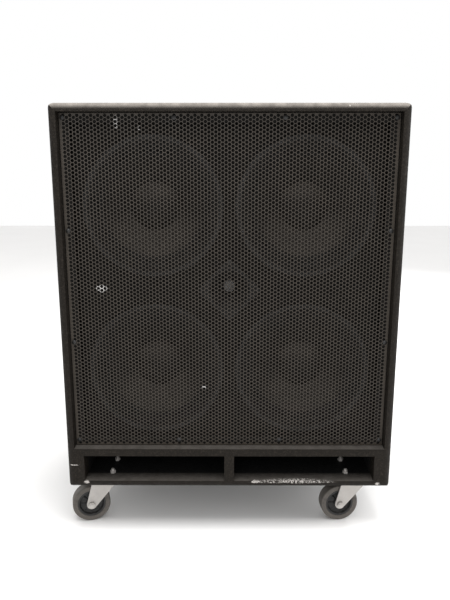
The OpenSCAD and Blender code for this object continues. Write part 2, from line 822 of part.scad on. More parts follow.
top_panel();
bottom_panel();
side_panel(-1);  // left_panel
side_panel(1);  // right_panel
back_panel();
baffle();
port_shelf();
port_divider();
port_side_blocks();
braces();
damping_lining();
grille_battens();
grille();
grille_screws();
driver_baskets();
driver_magnets();
driver_spiders();
driver_gaskets();
driver_screws();
for (i = [0:3]) {
    cone(i);
    dust_cap(i);
    surround(i);
}
tweeter_horn();
tweeter_driver();
wood_screws();
jack_dish();
jack_sockets();
level_control();
level_knob();
crossover();
wiring_harness();
handle(-1);  // left_handle
handle(1);  // right_handle
caster_plates();
caster_bolts();
for (i = [0:3]) {
    fork(i);
    axle(i);
    wheel(i);
    tyre(i);
}
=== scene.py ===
import json
import math

import bmesh
import bpy
from mathutils import Matrix, Vector, noise as field


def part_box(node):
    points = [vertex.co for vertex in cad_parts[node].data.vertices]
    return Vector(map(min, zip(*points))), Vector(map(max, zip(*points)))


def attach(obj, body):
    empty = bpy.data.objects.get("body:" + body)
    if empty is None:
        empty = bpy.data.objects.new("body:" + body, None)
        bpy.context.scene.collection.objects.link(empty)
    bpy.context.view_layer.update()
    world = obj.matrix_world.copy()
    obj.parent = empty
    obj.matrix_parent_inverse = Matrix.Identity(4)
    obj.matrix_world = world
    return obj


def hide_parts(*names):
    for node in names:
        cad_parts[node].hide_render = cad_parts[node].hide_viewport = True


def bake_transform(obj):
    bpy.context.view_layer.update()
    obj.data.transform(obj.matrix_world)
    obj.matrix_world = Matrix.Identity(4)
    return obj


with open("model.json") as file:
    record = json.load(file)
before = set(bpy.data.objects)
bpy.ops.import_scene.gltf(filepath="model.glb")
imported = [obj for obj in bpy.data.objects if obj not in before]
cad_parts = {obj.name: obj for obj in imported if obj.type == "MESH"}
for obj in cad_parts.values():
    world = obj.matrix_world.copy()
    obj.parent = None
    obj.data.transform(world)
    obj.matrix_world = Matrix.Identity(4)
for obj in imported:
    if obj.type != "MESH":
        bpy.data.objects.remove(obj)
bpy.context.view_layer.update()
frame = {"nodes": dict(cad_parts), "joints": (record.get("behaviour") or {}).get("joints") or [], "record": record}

MM = 0.001
CORNERS = ("front_left", "front_right", "rear_left", "rear_right")
DRIVERS = ("upper_left", "upper_right", "lower_left", "lower_right")


def middle(node):
    """The centre of a CAD node's box."""
    low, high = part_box(node)
    return (low + high) / 2


CABINET_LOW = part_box("left_panel")[0]
CABINET_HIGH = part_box("right_panel")[1]
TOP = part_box("top_panel")[1].z
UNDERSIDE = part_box("bottom_panel")[0].z
PORT_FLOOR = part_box("bottom_panel")[1].z
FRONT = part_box("top_panel")[0].y
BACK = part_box("back_panel")[1].y
SHEET_LOW, SHEET_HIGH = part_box("grille")
BAFFLE_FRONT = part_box("baffle")[0].y


# ---- Camera, light and floor ----

def make_camera():
    """The eye level and the distance at which the whole front fills the picture."""
    data = bpy.data.cameras.new("camera")
    data.lens = 37
    eye_distance = 1.102
    eye_height = 0.621
    tilt_down = 12.46
    data.dof.use_dof = False
    camera = bpy.data.objects.new("camera", data)
    camera.location = (-0.0042, FRONT - eye_distance, UNDERSIDE + eye_height)
    camera.rotation_euler = (math.radians(90 - tilt_down), 0, math.radians(0.2))
    bpy.context.scene.collection.objects.link(camera)
    bpy.context.scene.camera = camera


def area_light(name, place, target, size, power):
    """A soft square light at a place, turned towards a target."""
    data = bpy.data.lights.new(name, "AREA")
    data.size = size
    data.energy = power
    light = bpy.data.objects.new(name, data)
    light.location = place
    light.rotation_euler = (Vector(target) - Vector(place)).to_track_quat("-Z", "Y").to_euler()
    bpy.context.scene.collection.objects.link(light)


def make_studio():
    """Four soft lights, a white world and a pale floor."""
    area_light("overhead", (0.0, -0.75, 2.3), (0, -0.2, 0.5), 1.1, 46)
    area_light("front_fill", (-0.5, -2.6, 1.3), (0, 0, 0.5), 1.2, 9)
    area_light("rear_fill", (1.2, 2.2, 1.6), (0, 0, 0.4), 1.6, 34)
    area_light("side_fill", (2.4, -0.4, 1.1), (0, 0, 0.4), 1.4, 18)
    world = bpy.data.worlds.new("world")
    world.use_nodes = True
    world.node_tree.nodes["Background"].inputs["Color"].default_value = (1, 1, 1, 1)
    world.node_tree.nodes["Background"].inputs["Strength"].default_value = 1.0
    bpy.context.scene.world = world
    bpy.context.scene.view_settings.view_transform = "Standard"
    floor_mesh = bpy.data.meshes.new("floor")
    side = 6
    floor_mesh.from_pydata(
        [(-side, -side, 0), (side, -side, 0), (side, side, 0), (-side, side, 0)], [], [(0, 1, 2, 3)])
    floor = bpy.data.objects.new("floor", floor_mesh)
    bpy.context.scene.collection.objects.link(floor)
    floor_mesh.materials.append(floor_material())


# ---- Node helpers ----

class Finish:
    """A material's node tree, with short ways to add nodes to it."""

    def __init__(self, name):
        self.material = bpy.data.materials.new(name)
        self.material.use_nodes = True
        self.tree = self.material.node_tree
        self.shader = self.tree.nodes["Principled BSDF"]
        self.place = self.add("ShaderNodeTexCoord").outputs["Object"]

    def add(self, kind, inputs=None, **settings):
        node = self.tree.nodes.new(kind)
        for key, value in settings.items():
            setattr(node, key, value)
        for key, value in (inputs or {}).items():
            self.feed(node.inputs[key], value)
        return node

    def feed(self, socket, value):
        if isinstance(value, bpy.types.NodeSocket):
            self.tree.links.new(value, socket)
        else:
            socket.default_value = value

    def set(self, **values):
        for key, value in values.items():
            self.feed(self.shader.inputs[key.replace("_", " ").title().replace("Ior", "IOR")], value)
        return self.material

    def math(self, operation, a, b=0.0, clamp=False):
        return self.add("ShaderNodeMath", {0: a, 1: b}, operation=operation, use_clamp=clamp).outputs[0]

    def noise(self, scale, detail=4.0, roughness=0.55, place=None):
        inputs = {"Vector": place or self.place, "Scale": scale, "Detail": detail, "Roughness": roughness}
        return self.add("ShaderNodeTexNoise", inputs).outputs["Fac"]

    def cells(self, scale, place=None, feature="F1"):
        inputs = {"Vector": place or self.place, "Scale": scale}
        return self.add("ShaderNodeTexVoronoi", inputs, feature=feature).outputs["Distance"]

    def steps(self, value, low, high, at_low=0.0, at_high=1.0):
        """value mapped smoothly from low..high to at_low..at_high."""
        inputs = {0: value, 1: low, 2: high, 3: at_low, 4: at_high}
        return self.add("ShaderNodeMapRange", inputs, interpolation_type="SMOOTHSTEP").outputs[0]

    def mix(self, factor, a, b):
        inputs = {0: factor, 6: a, 7: b}
        return self.add("ShaderNodeMix", inputs, data_type="RGBA").outputs[2]

    def bump(self, height, distance, strength=1.0, normal=None):
        inputs = {"Height": height, "Distance": distance, "Strength": strength}
        if normal:
            inputs["Normal"] = normal
        return self.add("ShaderNodeBump", inputs).outputs[0]

    def split(self, vector):
        return self.add("ShaderNodeSeparateXYZ", {0: vector}).outputs

    def up(self):
        """How far the surface faces upwards, from -1 to 1."""
        return self.split(self.add("ShaderNodeNewGeometry").outputs["Normal"])[2]

    def radius(self):
        """Distance from the piece's own Z axis."""
        x, y, _ = self.split(self.place)
        return self.math("SQRT", self.math("ADD", self.math("MULTIPLY", x, x), self.math("MULTIPLY", y, y)))

    def worn_spot(self, centre, reach):
        """1 at a ragged spot of chipped paint, and 0 a little way off it."""
        offset = self.add("ShaderNodeVectorMath", {0: self.place, 1: centre}, operation="SUBTRACT")
        scaled = self.add("ShaderNodeVectorMath", {0: offset.outputs[0], 1: [1 / r for r in reach]},
                          operation="MULTIPLY")
        length = self.add("ShaderNodeVectorMath", {0: scaled.outputs[0]}, operation="LENGTH").outputs["Value"]
        speckles = self.steps(self.noise(900, 4, 0.7), 0.42, 0.66)
        return self.steps(self.math("ADD", length, speckles), 0.85, 1.05, 1.0, 0.0)

    def any_of(self, masks):
        total = masks[0]
        for mask in masks[1:]:
            total = self.math("MAXIMUM", total, mask)
        return total


def grey(value, warm=0.0):
    """A grey with a little warmth, as a colour."""
    return (value * (1 + warm), value, value * (1 - warm), 1)


# ---- Materials ----

def floor_material():
    """Plain pale paint with faint clouds."""
    f = Finish("floor")
    tone = f.mix(f.noise(3, 3), grey(0.80, 0.01), grey(0.84, 0.01))
    return f.set(base_color=tone, roughness=0.6)


def coating(name, top_light_and_dust_tone, inner=None):
    """Rolled-on speaker cabinet coating: dark, matt and pebbled, lighter on upward faces with dust and painted
    light from above, and chipped in places.
    """
    f = Finish(name)
    dark = f.mix(f.noise(9, 3), grey(0.005, 0.22), grey(0.010, 0.22))
    pebbles = f.math("ADD", f.math("MULTIPLY", f.cells(430, feature="SMOOTH_F1"), 0.7), f.noise(620, 3))
    speckle = f.mix(f.steps(pebbles, 0.75, 1.15), dark, grey(0.020, 0.22))
    # Upward faces are mixed towards a lighter tone: partly dust, partly painted light from above.
    dust_and_top_light = f.math("MULTIPLY", f.steps(f.up(), 0.2, 0.85), f.steps(f.noise(60, 5), 0.2, 0.75, 0.5, 0.9))
    tone = f.mix(dust_and_top_light, speckle, grey(top_light_and_dust_tone, 0.1))
    chips = chipped_spots(f)
    tone = f.mix(chips, tone, grey(0.46, 0.06))
    if inner:
        depth = f.split(f.place)[1]
        bare = f.steps(depth, FRONT + 28 * MM, FRONT + 34 * MM)
        tone = f.mix(bare, tone, inner)
    bump = f.bump(pebbles, 0.9 * MM, 0.75)
    bump = f.bump(f.noise(45, 3), 1.2 * MM, 0.25, bump)
    rough = f.steps(f.noise(150, 3), 0.3, 0.7, 0.5, 0.68)
    return f.set(base_color=tone, roughness=rough, normal=bump, specular_ior_level=0.1)


def chipped_spots(f):
    """The chips on the front edges: a long rubbed one under the right-hand port and a few small ones."""
    edge = PORT_FLOOR - 1 * MM
    rubbed = f.worn_spot((0.125, FRONT + 1 * MM, edge - 1 * MM), (0.085, 0.012, 0.0042))
    rubbed = f.math("MULTIPLY", rubbed, f.steps(f.noise(240, 4, 0.6), 0.47, 0.56))
    spots = [
        ((-0.279, FRONT, edge - 2 * MM), (0.006, 0.006, 0.004)),
        ((0.052, FRONT, edge - 1 * MM), (0.010, 0.008, 0.003)),
        ((0.290, FRONT, UNDERSIDE + 8 * MM), (0.005, 0.006, 0.005)),
        ((0.206, FRONT + 4 * MM, TOP - 6 * MM), (0.0025, 0.003, 0.002)),
        ((CABINET_LOW.x + 12 * MM, FRONT, UNDERSIDE + 48 * MM), (0.012, 0.006, 0.0012)),
        ((CABINET_HIGH.x - 2 * MM, BACK, TOP - 3 * MM), (0.006, 0.012, 0.006)),
        ((CABINET_LOW.x + 2 * MM, BACK, UNDERSIDE + 5 * MM), (0.007, 0.012, 0.008)),
    ]
    return f.any_of([rubbed] + [f.worn_spot(*spot) for spot in spots])


def grille_steel():
    """Black powder coat with a little dust, and bare steel where it was knocked."""
    f = Finish("grille_steel")
    tone = f.mix(f.noise(30, 4), grey(0.020, 0.2), grey(0.042, 0.2))
    x0, z0 = SHEET_LOW.x, SHEET_HIGH.z
    knocks = [
        ((x0 + 0.099, SHEET_LOW.y, z0 - 0.016), (0.004, 0.004, 0.013)),
        ((x0 + 0.062, SHEET_LOW.y, z0 - 0.312), (0.012, 0.004, 0.008)),
        ((x0 + 0.250, SHEET_LOW.y, z0 - 0.505), (0.006, 0.004, 0.004)),
        ((x0 + 0.140, SHEET_LOW.y, z0 - 0.025), (0.003, 0.004, 0.004)),
    ]
    bare = f.any_of([f.worn_spot(*knock) for knock in knocks])
    tone = f.mix(bare, tone, grey(0.42, 0.03))
    bump = f.bump(f.noise(1500, 2), 0.05 * MM, 0.5)
    rough = f.steps(f.noise(25, 3), 0.3, 0.7, 0.36, 0.5)
    return f.set(base_color=tone, roughness=rough, normal=bump, specular_ior_level=0.25)


def bare_ply():
    """Plywood with its grain, and plies on the edges."""
    f = Finish("bare_ply")
    stretched = f.add("ShaderNodeMapping", {0: f.place, 3: (4, 60, 60)}).outputs[0]
    grain = f.noise(6, 8, 0.6, stretched)
    plies = f.add("ShaderNodeTexWave", {"Vector": f.place, "Scale": 110.0, "Distortion": 0.4},
                  bands_direction="Z").outputs["Fac"]
    tone = f.mix(grain, (0.36, 0.22, 0.11, 1), (0.62, 0.45, 0.27, 1))
    tone = f.mix(f.math("MULTIPLY", plies, 0.3), tone, (0.28, 0.16, 0.08, 1))
    return f.set(base_color=tone, roughness=0.65, normal=f.bump(grain, 0.4 * MM, 0.4))


def black_wood():
    """Matt black paint over plywood, with the grain just showing."""
    f = Finish("black_wood")
    stretched = f.add("ShaderNodeMapping", {0: f.place, 3: (3, 40, 40)}).outputs[0]
    grain = f.noise(9, 7, 0.6, stretched)
    tone = f.mix(grain, grey(0.003, 0.1), grey(0.007, 0.1))
    return f.set(base_color=tone, roughness=0.75, normal=f.bump(grain, 0.3 * MM, 0.4), specular_ior_level=0.1)


def black_metal(name, rough, tone=0.02):
    """Satin black finish on pressed steel or screws."""
    f = Finish(name)
    base = f.mix(f.noise(80, 4), grey(tone), grey(tone * 1.9, 0.03))
    bump = f.bump(f.noise(900, 2), 0.08 * MM, 0.4)
    return f.set(base_color=base, metallic=0.4, roughness=f.steps(f.noise(60), 0.3, 0.7, rough, rough + 0.15),
                 normal=bump)


def plated(name, warm=0.05):
    """Dull zinc plating: satin grey with faint clouds and a little grime."""
    f = Finish(name)
    tone = f.mix(f.noise(90, 4), grey(0.36, warm), grey(0.44, warm))
    dirt = f.steps(f.noise(38, 6), 0.60, 0.82)
    tone = f.mix(f.math("MULTIPLY", dirt, 0.4), tone, (0.17, 0.15, 0.12, 1))
    rough = f.math("ADD", f.steps(f.noise(35, 3), 0.3, 0.7, 0.5, 0.62), f.math("MULTIPLY", dirt, 0.2))
    bump = f.bump(f.noise(300, 3), 0.03 * MM, 0.4)
    return f.set(base_color=tone, metallic=0.45, roughness=rough, normal=bump)


def tyre_rubber():
    """Grey thermoplastic rubber with grime and short scuffs on the tread."""
    f = Finish("tyre_rubber")
    tone = f.mix(f.noise(60, 5), grey(0.048, 0.14), grey(0.082, 0.14))
    scuffs = f.steps(f.noise(260, 7, 0.7), 0.57, 0.68)
    tone = f.mix(f.math("MULTIPLY", scuffs, 0.5), tone, grey(0.2, 0.1))
    grime = f.steps(f.noise(40, 6, 0.65), 0.52, 0.7)
    tone = f.mix(f.math("MULTIPLY", grime, 0.6), tone, grey(0.025, 0.1))
    bump = f.bump(f.noise(700, 4), 0.15 * MM, 0.6)
    return f.set(base_color=tone, roughness=f.steps(f.noise(90), 0.3, 0.7, 0.5, 0.72), normal=bump)


def moulded(name, tone=0.014, rough=0.42, grain=900, gloss=0.5):
    """Moulded plastic or rubber with a fine sparked texture."""
    f = Finish(name)
    base = f.mix(f.noise(24, 4), grey(tone), grey(tone * 1.8, 0.02))
    # Upward faces are lightened by dust and painted top light, such as the painted highlight on the horn mouth's
    # lower inside.
    dust_and_top_light = f.math("MULTIPLY", f.steps(f.up(), 0.5, 1.0), f.steps(f.noise(90, 5), 0.45, 0.7, 0.0, 0.35))
    base = f.mix(dust_and_top_light, base, grey(0.15, 0.06))
    bump = f.bump(f.noise(grain, 2), 0.12 * MM, 0.5)
    roughness = f.steps(f.noise(70), 0.3, 0.7, rough, rough + 0.14)
    return f.set(base_color=base, roughness=roughness, normal=bump, specular_ior_level=gloss)


def cone_paper():
    """Pressed grey-black paper: fibres, faint rings, and a lighter tone where the surface faces up, which is
    painted light from above with some dust.
    """
    f = Finish("cone_paper")
    fibres = f.noise(520, 8, 0.72)
    tone = f.mix(fibres, grey(0.003, 0.16), grey(0.010, 0.16))
    # Painted top light: the upward-facing lower cone and the top of the cap are lightened, partly dust.
    dust_and_top_light = f.steps(f.up(), 0.05, 0.45, 0.0, 0.85)
    tone = f.mix(dust_and_top_light, tone, grey(0.030, 0.14))
    rings = f.math("SINE", f.math("MULTIPLY", f.radius(), 900.0))
    bump = f.bump(rings, 0.15 * MM, 0.35)
    bump = f.bump(fibres, 0.35 * MM, 0.5, bump)
    return f.set(base_color=tone, roughness=0.65, normal=bump, specular_ior_level=0.15)


def surround_cloth():
    """Doped woven cloth with a tacky sheen."""
    f = Finish("surround_cloth")
    weave = f.math("MULTIPLY", f.cells(900), f.noise(400, 2))
    tone = f.mix(weave, grey(0.004, 0.05), grey(0.010, 0.05))
    bump = f.bump(weave, 0.25 * MM, 0.6)
    return f.set(base_color=tone, roughness=0.55, specular_ior_level=0.15, normal=bump)


def gasket_board():
    """Black pressed fibre board."""
    f = Finish("gasket")
    fibres = f.noise(420, 6, 0.7)
    tone = f.mix(fibres, grey(0.004, 0.05), grey(0.012, 0.05))
    bump = f.bump(fibres, 0.25 * MM, 0.5)
    return f.set(base_color=tone, roughness=0.75, normal=bump, specular_ior_level=0.15)


def spider_cloth():
    """Amber woven cloth, as it comes out of the resin."""
    f = Finish("spider_cloth")
    weave = f.cells(1100)
    tone = f.mix(weave, (0.32, 0.19, 0.06, 1), (0.52, 0.36, 0.14, 1))
    return f.set(base_color=tone, roughness=0.7, normal=f.bump(weave, 0.2 * MM, 0.6))


def ferrite():
    """Dark sintered magnet and steel plates."""
    f = Finish("magnet")
    tone = f.mix(f.noise(140, 5), grey(0.07), grey(0.13, 0.02))
    return f.set(base_color=tone, metallic=0.5, roughness=f.steps(f.noise(60), 0.3, 0.7, 0.38, 0.6),
                 normal=f.bump(f.noise(500, 4), 0.15 * MM, 0.5))


def wadding_fluff():
    """White polyester fibres."""
    f = Finish("wadding")
    fibres = f.noise(260, 9, 0.75)
    tone = f.mix(fibres, grey(0.46, 0.05), grey(0.78, 0.04))
    return f.set(base_color=tone, roughness=0.95, normal=f.bump(fibres, 1.5 * MM, 0.9), sheen_weight=0.4)


def circuit_board():
    """Green board and the parts on it."""
    f = Finish("circuit_board")
    blobs = f.steps(f.cells(160), 0.35, 0.4)
    tone = f.mix(blobs, (0.03, 0.11, 0.05, 1), (0.05, 0.16, 0.08, 1))
    return f.set(base_color=tone, roughness=0.35, normal=f.bump(f.noise(300, 3), 0.1 * MM, 0.4))


def wire_skin():
    """Red insulation."""
    f = Finish("wire")
    tone = f.mix(f.noise(70, 3), (0.30, 0.015, 0.012, 1), (0.42, 0.03, 0.02, 1))
    return f.set(base_color=tone, roughness=f.steps(f.noise(90), 0.3, 0.7, 0.3, 0.42),
                 normal=f.bump(f.noise(500, 2), 0.05 * MM, 0.4))


# ---- Mesh helpers ----

def new_piece(name, vertices, faces, material, place=None, sharp=35):
    """A shown piece, smooth except at edges sharper than the given angle."""
    mesh = bpy.data.meshes.new(name)
    mesh.from_pydata(vertices, [], faces)
    work = bmesh.new()
    work.from_mesh(mesh)
    bmesh.ops.remove_doubles(work, verts=work.verts, dist=2e-6)
    bmesh.ops.recalc_face_normals(work, faces=work.faces)
    work.to_mesh(mesh)
    work.free()
    mesh.shade_smooth()
    mesh.set_sharp_from_angle(angle=math.radians(sharp))
    mesh.materials.append(material)
    piece = bpy.data.objects.new(name, mesh)
    bpy.context.scene.collection.objects.link(piece)
    if place:
        piece.matrix_world = place
    return piece


def revolve(name, outline, material, place, steps=96, sharp=35, shape=None):
    """A closed outline of (radius, height) points in mm turned round the place's Z axis.
    shape(radius, height, angle) may move a point, for flutes and ribs."""
    vertices = []
    for i in range(steps):
        angle = 2 * math.pi * i / steps
        for r, h in outline:
            if shape:
                r, h = shape(r, h, angle)
            vertices.append((r * MM * math.cos(angle), r * MM * math.sin(angle), h * MM))
    count = len(outline)
    faces = []
    for i in range(steps):
        j = (i + 1) % steps
        for k in range(count):
            m = (k + 1) % count
            if outline[k][0] > 1e-6 or outline[m][0] > 1e-6:
                faces.append((i * count + k, j * count + k, j * count + m, i * count + m))
    return new_piece(name, vertices, faces, material, place, sharp)


def arc(cx, cy, r, start, end, steps):
    """Points of an arc, with its angles in degrees."""
    angles = [math.radians(start + (end - start) * i / steps) for i in range(steps + 1)]
    return [(cx + r * math.cos(a), cy + r * math.sin(a)) for a in angles]


def box_piece(name, low, high, material, bevel=0.5 * MM):
    """A block with bevelled edges between two corners."""
    work = bmesh.new()
    bmesh.ops.create_cube(work, size=1)
    for vertex in work.verts:
        for axis in range(3):
            vertex.co[axis] = low[axis] if vertex.co[axis] < 0 else high[axis]
    bmesh.ops.bevel(work, geom=work.edges[:], offset=bevel, segments=3, affect="EDGES", profile=0.7)
    vertices = [vertex.co[:] for vertex in work.verts]
    work.verts.index_update()
    faces = [[vertex.index for vertex in face.verts] for face in work.faces]
    work.free()
    return new_piece(name, vertices, faces, material)


def towards_front(centre):
    """A place whose Z axis points at the listener."""
    return Matrix.Translation(centre) @ Matrix.Rotation(math.pi / 2, 4, "X")


def joint(name):
    """The joint of that name in the record."""
    return next(j for j in frame["joints"] if j["name"] == name)


def along_joint(name):
    """A place at a hinge's centre whose Z axis is the hinge's axis."""
    turn = Vector(joint(name)["axis"]).to_track_quat("Z", "X").to_matrix().to_4x4()
    return Matrix.Translation(joint(name)["pos_m"]) @ turn


# ---- Grille ----

HOLE_PITCH = 7.0 * MM
HOLE_FLATS = 5.7 * MM


def hexagon(x, z, across_flats):
    """Corners of a hexagon with a flat at the top and the bottom."""
    r = across_flats / math.sqrt(3)
    angles = [math.radians(60 * k) for k in range(6)]
    return [(x + r * math.cos(a), z + r * math.sin(a)) for a in angles]


def clip(corners, axis, limit, keep_below):
    """A polygon cut off at a straight line."""
    sign = 1 if keep_below else -1
    kept = []
    for a, b in zip(corners, corners[1:] + corners[:1]):
        da = sign * (a[axis] - limit)
        db = sign * (b[axis] - limit)
        if da <= 0:
            kept.append(a)
        if (da < 0 < db) or (db < 0 < da):
            t = da / (da - db)
            kept.append(tuple(a[i] + t * (b[i] - a[i]) for i in (0, 1)))
    return kept


def perforated_half(name, side, material):
    """One half of the sheet: whole cells have a hexagonal hole, and cells that its edge cuts are solid."""
    column_step = HOLE_PITCH * math.sqrt(3) / 2
    vertices = []
    faces = []
    y = SHEET_LOW.y
    width = SHEET_HIGH.x - SHEET_LOW.x
    rows = int((SHEET_HIGH.z - SHEET_LOW.z) / HOLE_PITCH / 2) + 2
    columns = int(width / column_step / 2) + 2
    centre_z = (SHEET_LOW.z + SHEET_HIGH.z) / 2
    for column in range(0 if side > 0 else -columns, columns + 1 if side > 0 else 0):
        x = column * column_step
        for row in range(-rows, rows + 1):
            z = centre_z + (row + (column % 2) / 2) * HOLE_PITCH
            cell = hexagon(x, z, HOLE_PITCH)
            inside = all(SHEET_LOW.x < px < SHEET_HIGH.x and SHEET_LOW.z < pz < SHEET_HIGH.z
                         for px, pz in cell)
            first = len(vertices)
            if inside:
                hole = hexagon(x, z, HOLE_FLATS)
                vertices += [(p[0], y, p[1]) for p in cell + hole]
                faces += [(first + k, first + (k + 1) % 6, first + 6 + (k + 1) % 6, first + 6 + k)
                          for k in range(6)]
                continue
            for axis, low, high in ((0, SHEET_LOW.x, SHEET_HIGH.x), (1, SHEET_LOW.z, SHEET_HIGH.z)):
                cell = clip(cell, axis, high, True) if cell else cell
                cell = clip(cell, axis, low, False) if cell else cell
            if len(cell) > 2:
                vertices += [(p[0], y, p[1]) for p in cell]
                faces.append(tuple(range(first, first + len(cell))))
    piece = new_piece(name, vertices, faces, material)
    thicken(piece, SHEET_HIGH.y - SHEET_LOW.y)
    return piece


def thicken(piece, thickness):
    """Gives a sheet its thickness behind its front face, towards +Y."""
    if piece.data.polygons[0].normal.y > 0:
        piece.data.flip_normals()
    solid = piece.modifiers.new("solid", "SOLIDIFY")
    solid.thickness = thickness
    solid.offset = -1
    solid.use_even_offset = False
    apply_modifiers(piece)
    piece.data.shade_flat()


def apply_modifiers(piece):
    """Leaves the piece with its modifiers' result as its own mesh."""
    graph = bpy.context.evaluated_depsgraph_get()
    mesh = bpy.data.meshes.new_from_object(piece.evaluated_get(graph))
    piece.modifiers.clear()
    piece.data = mesh


def make_grille(finishes):
    """The perforated sheet, in two halves that meet on the middle line."""
    for name, side in (("grille_left_half", -1), ("grille_right_half", 1)):
        half = perforated_half(name, side, finishes["grille_steel"])
        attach(half, "cabinet")
        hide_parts("grille")


# ---- Drivers ----

CONE_EDGE_R = 96.0
CONE_NECK_R = 26.4
CONE_EDGE_H = -4.0
CONE_NECK_H = -46.0
CAP_R = 45.0
PAPER_T = 1.1


def cone_height(r):
    """Height of the cone's face at a radius: a gently curved flare."""
    s = (r - 26) / (CONE_EDGE_R - 26)
    return CONE_NECK_H + (CONE_EDGE_H - CONE_NECK_H) * (s + 0.22 * s * (1 - s))


def pressed_ring(r):
    """How far the cone's three shallow rings stand up at a radius."""
    return 0.5 * sum(math.exp(-((r - at) / 1.3) ** 2) for at in (58, 70, 82))


def cone_outline():
    """The cone's face and its thin back, with the former that carries the voice coil."""
    steps = 56
    radii = [CONE_NECK_R + (CONE_EDGE_R - CONE_NECK_R) * i / steps for i in range(steps + 1)]
    face = [(r, cone_height(r) + pressed_ring(r)) for r in radii]
    rear = [(r, h - PAPER_T) for r, h in reversed(face)]
    former = [(26.4, -75), (26.0, -75), (26.0, -91.8), (25.5, -91.8), (25.5, -42)]
    return face + rear + former + [(26.0, -42)]


def cap_outline():
    """A dome with a rolled rim that is glued to the cone."""
    rise = 17.0
    bend = (CAP_R ** 2 + rise ** 2) / (2 * rise)
    seat = cone_height(CAP_R) + 0.1
    half_angle = math.degrees(math.asin(CAP_R / bend))
    top = arc(0, seat + rise - bend, bend, 90, 90 - half_angle, 28)
    low = arc(0, seat + rise - bend, bend - 0.8, 90 - half_angle, 90, 28)
    return top + [(CAP_R + 1.6, seat + 0.9), (CAP_R + 1.8, seat + 0.4)] + low


def surround_outline():
    """Three pleats between the flange and the cone, each lower than the one outside it, in treated cloth."""
    outer, inner = 112.5, CONE_EDGE_R - 4
    steps = 44
    face = []
    for i in range(steps + 1):
        s = i / steps
        r = outer + (inner - outer) * s
        drop = 5.9 + (CONE_EDGE_H + 0.6 - 5.9) * (s * s * (3 - 2 * s))
        pleat = 1.5 * math.sin(math.pi * s) * (1 - math.cos(6 * math.pi * s)) * 0.5
        face.append((r, drop + pleat))
    face = [(118.0, 5.9)] + face
    return face + [(r, h - 0.8) for r, h in reversed(face)]


def make_driver(name, finishes):
    """A cone and its cap that travel, and the pleated surround between them and the flange."""
    membrane = name + "_membrane"
    centre = middle(name + "_surround")
    centre.y = BAFFLE_FRONT
    place = towards_front(centre)
    cone = revolve(name + "_paper_cone", cone_outline(), finishes["cone_paper"], place, 128, 50)
    cap = revolve(name + "_cap", cap_outline(), finishes["cone_paper"], place, 96, 50)
    for piece, node in ((cone, name + "_cone"), (cap, name + "_dust_cap")):
        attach(piece, membrane)
        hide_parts(node)
    roll = revolve(name + "_pleated_surround", surround_outline(), finishes["surround_cloth"], place, 128, 60)
    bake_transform(roll)
    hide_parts(name + "_surround")


# ---- Casters ----

def tyre_outline():
    """A solid tyre: rounded shoulders, a faint crown and a moulded step on each side."""
    tread_r, rim_r, half = 38.0, 28.0, 12.0
    bend = 2.6
    right = arc(tread_r - bend, half - bend, bend, 0, 90, 8)
    left = arc(tread_r - bend, -half + bend, bend, -90, 0, 8)
    tread = [(tread_r, -3.0), (tread_r, 3.0)]
    step_right = [(rim_r + 5.5, half), (rim_r + 4.9, half - 0.5),
                  (rim_r + 0.6, half - 0.5), (rim_r, half - 1.2)]
    step_left = [(r, -h) for r, h in reversed(step_right)]
    return tread + right + step_right + step_left + left


def wheel_outline():
    """The moulded centre: rim with a lip, dished web and a stepped boss."""
    rim, bore = 28.0, 4.05
    half = 13.2
    face = [(rim, 10.8), (27.4, 11.3), (25.0, 11.3), (24.2, 10.6), (22.6, 5.6), (21.6, 5.0), (12.6, 5.0),
            (11.4, 5.6), (10.2, 12.0), (9.6, 12.6), (7.8, 12.6), (7.4, half), (bore, half)]
    return face + [(r, -h) for r, h in reversed(face)]


def ribbed(r, h, angle):
    """Eight shallow radial ribs across the wheel's web."""
    if 11.5 < r < 22.7 and abs(h) < 6:
        h += math.copysign(1.8 * max(0.0, math.cos(8 * angle)) ** 6, h)
    return r, h


def make_caster(name, finishes):
    """A tyre on a moulded wheel, turned about the caster's axle."""
    place = along_joint(name + "_roll")
    tyre = revolve(name + "_rubber_tyre", tyre_outline(), finishes["tyre_rubber"], place, 128, 40)
    core = revolve(name + "_moulded_wheel", wheel_outline(), finishes["wheel_plastic"], place, 160, 30,
                   ribbed)
    parts = ((tyre, name + "_tyre", "tyre_rubber"), (core, name + "_wheel", "wheel_plastic"))
    for piece, node, slot in parts:
        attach(piece, name + "_roller")
        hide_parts(node)


# ---- Handles, control and wadding ----

def make_grip(side, finishes):
    """A ribbed rubber sleeve on the handle's bar."""
    node = side + "_handle"
    low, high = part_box(node)
    sign = -1 if side == "left" else 1
    wall_x = CABINET_HIGH.x if sign > 0 else CABINET_LOW.x
    centre = Vector((wall_x - sign * 9 * MM, (low.y + high.y) / 2, middle(node).z + 22 * MM))
    place = Matrix.Translation(centre) @ Matrix.Rotation(math.pi / 2, 4, "X")
    half, ribs, bar_r = 56.0, 28, 9.02
    outline = [(bar_r, -half)]
    for i in range(ribs * 6 + 1):
        s = i / (ribs * 6)
        end = min(1.0, 8 * min(s, 1 - s) + 0.35)
        outline.append((bar_r + end * (1.0 + 0.55 * math.sin(2 * math.pi * ribs * s)), -half + 2 * half * s))
    outline.append((bar_r, half))
    sleeve = revolve(side + "_grip_sleeve", outline, finishes["soft_rubber"], place, 64, 60)
    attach(sleeve, "cabinet")


def fluted(r, h, angle):
    """Flutes round the knob's side."""
    if 7.0 < r < 9.8 and 3.4 < h < 12.4:
        r -= 0.55 * (0.5 - 0.5 * math.cos(20 * angle)) ** 2
    return r, h


